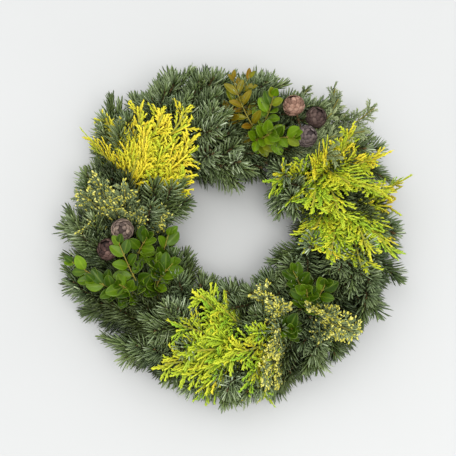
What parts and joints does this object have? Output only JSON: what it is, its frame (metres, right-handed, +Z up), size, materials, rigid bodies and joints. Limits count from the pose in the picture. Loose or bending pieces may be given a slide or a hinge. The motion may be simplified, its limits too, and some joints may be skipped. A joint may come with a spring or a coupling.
{
  "type": "fresh evergreen wreath",
  "caption": "Round wreath of fir, golden and blue-grey cypress, box and small cones, their stems wired to a straw ring with an open middle; it lies flat.",
  "frame": {"origin": "middle of the outline, on the surface that the wreath lies on", "axes": "+Z up out of the middle of the ring; +X to the right and +Y away, as the picture shows it"},
  "size_m": [0.3484, 0.34, 0.0821],
  "materials": {
    "straw": "dry wound straw, matt",
    "wire": "green lacquered binding wire",
    "fir": "fresh dark green needles, waxy, with grey-green undersides",
    "golden_cypress": "scale leaves, golden yellow at the tips and yellow-green inside",
    "blue_cypress": "blue-grey-green scale leaves, some with small yellow buds",
    "box_leaf": "glossy bright green leaves on light brown stems",
    "cone": "dry brown-grey woody scales"
  },
  "bodies": {
    "root": {"straw_ring": "straw", "binding_wire": "wire", "box_left_1": "box_leaf", "box_left_2": "box_leaf", "box_left_3": "box_leaf", "box_left_4": "box_leaf", "box_right_1": "box_leaf", "box_right_2": "box_leaf", "box_top_1": "box_leaf", "box_top_2": "box_leaf", "box_top_3": "box_leaf", "cone_left_1": "cone", "cone_left_2": "cone", "cone_top_1": "cone", "cone_top_2": "cone", "cone_top_3": "cone", "cypress_left_1": "blue_cypress", "cypress_left_2": "blue_cypress", "cypress_right_1": "blue_cypress", "cypress_right_2": "blue_cypress", "cypress_right_3": "blue_cypress", "cypress_top_1": "blue_cypress", "cypress_top_2": "blue_cypress", "cypress_top_3": "blue_cypress", "fir_inner_1": "fir", "fir_inner_2": "fir", "fir_inner_3": "fir", "fir_inner_4": "fir", "fir_inner_5": "fir", "fir_inner_6": "fir", "fir_outer_01": "fir", "fir_outer_02": "fir", "fir_outer_03": "fir", "fir_outer_04": "fir", "fir_outer_05": "fir", "fir_outer_06": "fir", "fir_outer_07": "fir", "fir_outer_08": "fir", "fir_outer_09": "fir", "fir_outer_10": "fir", "fir_outer_11": "fir", "fir_outer_12": "fir", "fir_outer_13": "fir", "fir_outer_14": "fir", "fir_top_1": "fir", "fir_top_2": "fir", "fir_top_3": "fir", "gold_bottom_1": "golden_cypress", "gold_bottom_2": "golden_cypress", "gold_bottom_3": "golden_cypress", "gold_bottom_4": "golden_cypress", "gold_left_1": "golden_cypress", "gold_left_2": "golden_cypress", "gold_left_3": "golden_cypress", "gold_left_4": "golden_cypress", "gold_right_1": "golden_cypress", "gold_right_2": "golden_cypress", "gold_right_3": "golden_cypress", "gold_right_4": "golden_cypress", "gold_right_5": "golden_cypress"}
  },
  "joints": []
}
